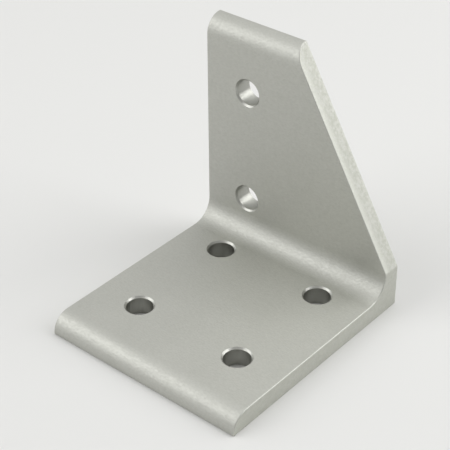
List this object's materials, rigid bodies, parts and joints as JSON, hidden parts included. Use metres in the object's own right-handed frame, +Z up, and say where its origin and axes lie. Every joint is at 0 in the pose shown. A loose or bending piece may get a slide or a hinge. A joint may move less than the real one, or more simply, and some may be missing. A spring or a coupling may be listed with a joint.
{
  "type": "t slot corner bracket",
  "caption": "Right-angle aluminium corner bracket for slotted framing: a square drilled base and a drilled upright with a slanted side and rounded free edges.",
  "frame": {"origin": "middle of the footprint, on the underside of the base", "axes": "+Z up; the base lies flat along Y, the upright stands at its +Y end, and the width and the way of extrusion run along X"},
  "size_m": [0.07, 0.078, 0.078],
  "materials": {
    "anodised_aluminium": "etched and clear anodised, satin, with sawn end faces of the same colour"
  },
  "bodies": {
    "root": {"corner_bracket": "anodised_aluminium"}
  },
  "joints": []
}
